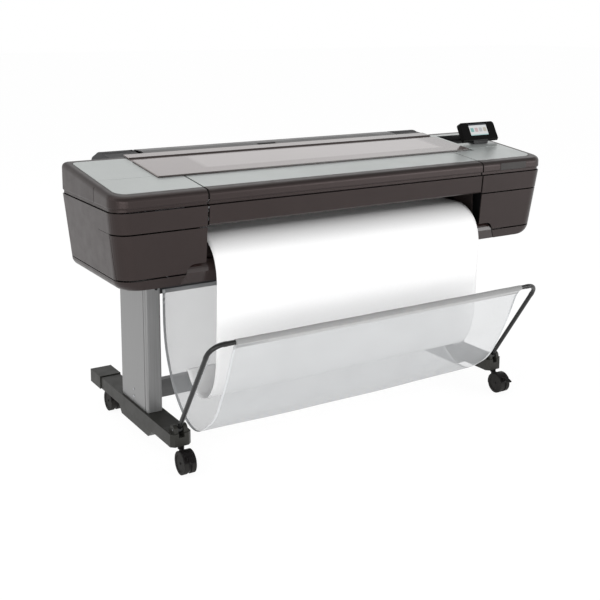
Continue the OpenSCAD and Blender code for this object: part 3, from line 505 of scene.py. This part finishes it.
# ---------- paper ----------
PAPER_HALF = 559
PAPER_THICK = 0.3
FREE_FROM = 0.45    # how far through the line's points the sheet starts to hang free
feed_line = [Vector(p) for p in ((560, 816), (470, 786), (400, 765), (370, 757.9))]
drop_line = smooth_line([(150, 757.9), (102, 756), (58, 740), (22, 710), (1, 668), (-7, 625), (-6, 570),
                         (-2, 480), (2, 400), (8, 330), (26, 262), (64, 210), (114, 186), (162, 193),
                         (200, 220), (227, 255)], 8)


def paper_ripple(x, v):
    """Flat in the machine; the free end waves very slightly across its width."""
    free = max(0.0, v - FREE_FROM) / (1 - FREE_FROM)
    return (1.2 * free * math.sin(x / 170 + 1.3), 0.8 * free * math.sin(x / 230))


paper_line = feed_line + drop_line
verts, faces, uvs = swept_sheet(paper_line, -PAPER_HALF, PAPER_HALF, 72, paper_ripple)
paper_web = new_piece("paper_web", verts, faces, web_paper, "root", "paper", uvs)
thicken(paper_web, PAPER_THICK)
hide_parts("paper_sheet")

# ---------- basket netting, with its sleeve, hems and stitches ----------
NET_HALF = 597
BAR = Vector((-199.2, 479.7))           # the front bar's axis
BAR_RADIUS = 8
net_line = smooth_line([(-199, 470), (-181, 446), (-152, 376), (-122, 310), (-90, 248), (-60, 194),
                        (-26, 153), (17, 120), (60, 92), (112, 83), (172, 101), (240, 156), (290, 230),
                        (322, 310), (335, 400), (335, 520)], 6)


def net_sag(x, v):
    """The free middle hangs a little lower than the two hemmed ends, and ripples slightly."""
    u = x / NET_HALF
    free = math.sin(math.pi * v)
    return (1.3 * math.sin(9 * u + 5 * v) * free, (2.5 - 7 * (1 - u * u)) * free)


verts, faces, uvs = swept_sheet(net_line, -NET_HALF, NET_HALF, 60, net_sag)
basket_netting = new_piece("basket_netting", verts, faces, netting, None, "mesh", uvs)
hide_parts("basket_front_mesh", "basket_rear_mesh")
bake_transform(basket_netting)


def bar_sleeve():
    """Cloth wrapped round the front bar: a long ring-shaped solid with soft creases."""
    rows, around = 150, 20
    inner, outer = BAR_RADIUS + 0.15, BAR_RADIUS + 1.3
    verts, uvs = [], []
    for row in range(-1, rows + 2):
        inside = row in (-1, rows + 1)
        x = -NET_HALF + 2 * NET_HALF * min(max(row, 0), rows) / rows
        for k in range(around):
            a = 2 * math.pi * k / around
            crease = 0.25 * math.sin(x / 41 + 2 * a) + 0.15 * math.sin(x / 17 - a)
            r = inner if inside else outer + crease
            verts.append(point(x, BAR.x + r * math.cos(a), BAR.y + r * math.sin(a)))
            uvs.append((x * MM, a * outer * MM))
    faces = grid_faces(rows + 3, around, wrap=True)
    last = (rows + 2) * around
    faces += [(last + k, last + (k + 1) % around, (k + 1) % around, k) for k in range(around)]
    return verts, faces, uvs


verts, faces, uvs = bar_sleeve()
new_piece("basket_sleeve", verts, faces, sleeve_cloth, "basket", "mesh", uvs)

HEM_DEPTH, HEM_THICK, HEM_OVERHANG = 19, 1.6, 0.6
SIDE_HEM_IN, SIDE_HEM_OUT = 9, 0.8
hem_line = first_stretch(net_line, HEM_DEPTH)
verts, faces, uvs = swept_sheet(hem_line, -NET_HALF - HEM_OVERHANG, NET_HALF + HEM_OVERHANG, 60, net_sag)
basket_hem = new_piece("basket_hem", verts, faces, hem_cloth, "basket", "mesh", uvs)
thicken(basket_hem, HEM_THICK)

for side, name in ((-1, "left"), (1, "right")):
    x_near, x_far = sorted((side * (NET_HALF - SIDE_HEM_IN), side * (NET_HALF + SIDE_HEM_OUT)))
    verts, faces, uvs = swept_sheet(net_line, x_near, x_far, 2, net_sag)
    hem = new_piece(f"netting_side_hem_{name}", verts, faces, side_hem_cloth, None, "mesh", uvs)
    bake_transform(hem)


def hem_stitches():
    """A row of short raised stitches near the hem's lower edge."""
    lower_edge = hem_line[-1]
    lean = (lower_edge - hem_line[-2]).normalized()
    out = Vector((-lean.y, lean.x))
    if out.x > 0:
        out = -out
    above_edge, proud = 3, 0.9
    seat = lower_edge - lean * above_edge + out * proud
    pitch, length = 6.0, 3.8
    shapes = []
    for k in range(int(2 * NET_HALF / pitch)):
        x = -NET_HALF + pitch * (k + 0.5)
        shapes.append(turned(point(x - length / 2, seat.x, seat.y), (1, 0, 0),
                             ((0.1, 0), (0.45, 0.9), (0.45, length - 0.9), (0.1, length)), 6))
    return joined(shapes)


new_piece("hem_stitches", *hem_stitches(), thread, "basket", "mesh")

# ---------- touchscreen ----------
TOP_FRONT_Z, TOP_SLOPE = 921, 0.12      # the body's top line: its height at the front, and its rise
SCREEN_Y, SCREEN_LIFT = 268, 15.5       # the screen's hinge: its place, and its height over that line
SCREEN = (800, SCREEN_Y, TOP_FRONT_Z + TOP_SLOPE * SCREEN_Y + SCREEN_LIFT)
SCREEN_TILT = math.radians(61)
SCREEN_FACE = 10.4                      # the case's front face, out from the hinge
GLASS_PROUD = 0.7


def on_screen(u, v, w):
    """u across the screen from its middle, v up from its hinge, w out of it."""
    return point(SCREEN[0] + u, SCREEN[1] + v * math.cos(SCREEN_TILT) - w * math.sin(SCREEN_TILT),
                 SCREEN[2] + v * math.sin(SCREEN_TILT) + w * math.cos(SCREEN_TILT))


def glowing(name, color, strength):
    """A lit part of the display."""
    m = Shader(name, tuple(0.08 * c for c in color), 0.25, edge=0)
    m.set("Emission Color", (*color, 1)).set("Emission Strength", strength)
    return m.vary_color(m.noise(80), 0.02)


def screen_plate(name, u, v, w, radius, finish):
    """A thin layer on the screen's face; it tilts with the screen."""
    return new_piece(name, *rounded_plate(on_screen, u, v, w, radius, 0.2), finish, "touchscreen", "screen",
                     smooth=False)


glass = gloss("ScreenGlass", (0.002, 0.002, 0.002), 0.12, 0.0, 0.1)
screen_plate("screen_glass", (-90, 90), (-1, 71.5), (SCREEN_FACE - 0.2, SCREEN_FACE + GLASS_PROUD), 10, glass)
LIT_U, LIT_V = (-47, 47), (16, 67)
HEADER_HIGH, FOOTER_HIGH = 7, 4
face = SCREEN_FACE + GLASS_PROUD
screen_plate("screen_display", LIT_U, LIT_V, (face - 0.1, face + 0.2), 0.8,
             glowing("DisplayLight", (0.93, 0.95, 0.96), 0.6))
screen_plate("screen_header", LIT_U, (LIT_V[1] - HEADER_HIGH, LIT_V[1]), (face, face + 0.35), 0.6,
             glowing("DisplayHeader", (0.05, 0.06, 0.08), 0.3))
screen_plate("screen_footer", LIT_U, (LIT_V[0], LIT_V[0] + FOOTER_HIGH), (face, face + 0.35), 0.6,
             glowing("DisplayFooter", (0.55, 0.80, 0.80), 0.6))
TILE_MARGIN, TILE_PITCH, TILE_WIDE, TILE_V = 5, 22.3, 17, (31, 49)
TILES = (("sea", (0.35, 0.68, 0.66)), ("rose", (0.86, 0.66, 0.68)), ("stone", (0.72, 0.74, 0.76)),
         ("sand", (0.82, 0.76, 0.66)))
for k, (name, color) in enumerate(TILES):
    left = LIT_U[0] + TILE_MARGIN + TILE_PITCH * k
    screen_plate(f"screen_tile_{name}", (left, left + TILE_WIDE), TILE_V, (face, face + 0.4), 2.5,
                 glowing(f"Tile_{name}", color, 0.5))

# ---------- latch of the roll cover ----------
HOOD_START, HOOD_END = (502, 972), (560, 983)    # y, z of the flat front of the roll cover
LATCH_X, LATCH_Y = (-95.6, -14.4), (518.4, 549.6)
LATCH_BARS_AT, LATCH_BAR_WIDE = (8.7, 22.7), 4.8


def on_hood(u, v, w):
    """u across the roll cover, v back from the body's front face, w above the cover's outer face."""
    rise = (HOOD_END[1] - HOOD_START[1]) / (HOOD_END[0] - HOOD_START[0])
    return point(u, v, HOOD_START[1] + rise * (v - HOOD_START[0]) + w)


latch_tray = rounded_plate(on_hood, LATCH_X, LATCH_Y, (-7.0, -3.4), 2.5)
latch_bars = [rounded_plate(on_hood, LATCH_X, (near, near + LATCH_BAR_WIDE), (-1.2, -0.3), 0.8)
              for near in (LATCH_Y[0] + start for start in LATCH_BARS_AT)]
new_piece("roll_cover_latch", *joined([latch_tray, *latch_bars]), latch_black, "roll_cover", "inner_plastic",
          smooth=False)

# ---------- fasteners and plugs ----------
LEG_X = 683
LEG_OUTER = LEG_X + 28
LEG_SCREWS = ((268, 584), (268, 566), (341, 150), (341, 176))      # y, z on the outside of each leg
BACK_SCREWS = ((620, 690), (850, 690), (740, 840), (862, 840))     # x, z on the back of each end module
HEX_FROM = 5                                                       # the socket's first ring in HEAD
HEAD = ((4.5, 0), (4.5, 1.1), (4.2, 1.7), (3.4, 2.2), (2.4, 2.4), (2.2, 2.35), (2.1, 1.0), (0.4, 1.0))
heads = []
for side in (-1, 1):
    for y, z in LEG_SCREWS:
        heads.append(turned(point(side * LEG_OUTER, y, z), (side, 0, 0), HEAD, 24, HEX_FROM))
    for x, z in BACK_SCREWS:
        heads.append(turned(point(side * x, BODY_DEPTH, z), (0, 1, 0), HEAD, 24, HEX_FROM))
screw_heads = new_piece("screw_heads", *joined(heads), steel, "root", "steel", smooth=False)
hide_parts("screws")

PLUG = ((5.0, 1.0), (5.9, 0), (5.9, -0.8), (5.2, -1.5), (3.0, -1.9), (0.4, -2.0))
PLUG_AT = (LEG_X - 12, 222, 560)
plugs = [turned(point(side * PLUG_AT[0], *PLUG_AT[1:]), (0, 1, 0), PLUG, 24) for side in (-1, 1)]
new_piece("leg_plugs", *joined(plugs), black_rubber, "root", "rubber")


# ---------- setting, camera and light ----------
def make_floor():
    """A wide floor lit mostly from itself, so that it stays evenly pale."""
    reach = 40
    mesh = bpy.data.meshes.new("floor")
    mesh.from_pydata([(-reach, -reach, 0), (reach, -reach, 0), (reach, reach, 0), (-reach, reach, 0)], [],
                     [(0, 1, 2, 3)])
    floor = bpy.data.objects.new("floor", mesh)
    bpy.context.scene.collection.objects.link(floor)
    paper_sweep = Shader("Floor", (0.12, 0.12, 0.12), 0.9, edge=0)
    paper_sweep.set("Specular IOR Level", 0.0)
    paper_sweep.set("Emission Color", (1, 1, 1, 1)).set("Emission Strength", 0.93)
    mesh.materials.append(paper_sweep.material)


def make_camera():
    """The photograph's view, with its lens shift kept small and the rest taken up by pitch."""
    sensor, lens, shift = 36, 59.502, -0.20
    data = bpy.data.cameras.new("camera")
    camera = bpy.data.objects.new("camera", data)
    bpy.context.scene.collection.objects.link(camera)
    data.sensor_width = sensor
    data.lens = lens
    data.shift_y = shift
    azimuth, pitch, roll = math.radians(32.03), math.radians(9.21), math.radians(0.12)
    camera.location = (-1.9765, FRONT_Y - 2.7766, 1.4561)
    forward = Vector((math.sin(azimuth) * math.cos(pitch), math.cos(azimuth) * math.cos(pitch),
                      -math.sin(pitch)))
    turn = forward.to_track_quat("-Z", "Y")
    camera.rotation_mode = "QUATERNION"
    camera.rotation_quaternion = turn @ Matrix.Rotation(roll, 3, "Z").to_quaternion()
    data.clip_start, data.clip_end = 0.05, 120
    bpy.context.scene.camera = camera


def area_light(name, place, target, size, power):
    """A soft box of size (across, up), in metres, and power in watts, facing its target."""
    data = bpy.data.lights.new(name, "AREA")
    data.shape = "RECTANGLE"
    data.size, data.size_y = size
    data.energy = power
    lamp = bpy.data.objects.new(name, data)
    bpy.context.scene.collection.objects.link(lamp)
    lamp.location = place
    lamp.rotation_euler = (Vector(target) - Vector(place)).to_track_quat("-Z", "Y").to_euler()


def make_world():
    """A white studio: bright round the horizon and dimmer overhead."""
    world = bpy.data.worlds.new("studio")
    bpy.context.scene.world = world
    world.use_nodes = True
    tree = world.node_tree
    background = tree.nodes["Background"]
    background.inputs["Color"].default_value = (1, 1, 1, 1)
    split = tree.nodes.new("ShaderNodeSeparateXYZ")
    tree.links.new(tree.nodes.new("ShaderNodeTexCoord").outputs["Generated"], split.inputs["Vector"])
    fade = tree.nodes.new("ShaderNodeMapRange")
    for socket, value in (("From Min", 0.28), ("From Max", 0.75), ("To Min", 1.0), ("To Max", 0.32)):
        fade.inputs[socket].default_value = value
    tree.links.new(split.outputs["Z"], fade.inputs["Value"])
    tree.links.new(fade.outputs["Result"], background.inputs["Strength"])


make_floor()
make_camera()
area_light("key", (-4.0, 0.6, 3.6), (-0.3, 0, 0.7), (3.0, 3.0), 30)
area_light("front", (-2.4, -4.4, 0.9), (0.1, 0, 0.55), (3.4, 1.6), 54)
area_light("corner_strip", (-3.9, -2.9, 0.95), (-0.9, -0.25, 0.75), (0.5, 1.7), 15)
area_light("side_card", (3.5, -3.9, 1.3), (0.1, 0, 0.8), (3.4, 2.0), 70)
area_light("overhead", (-0.4, 0.8, 4.4), (-0.2, 0, 0.9), (5.0, 3.0), 60)
make_world()
bpy.context.scene.view_settings.view_transform = "Standard"
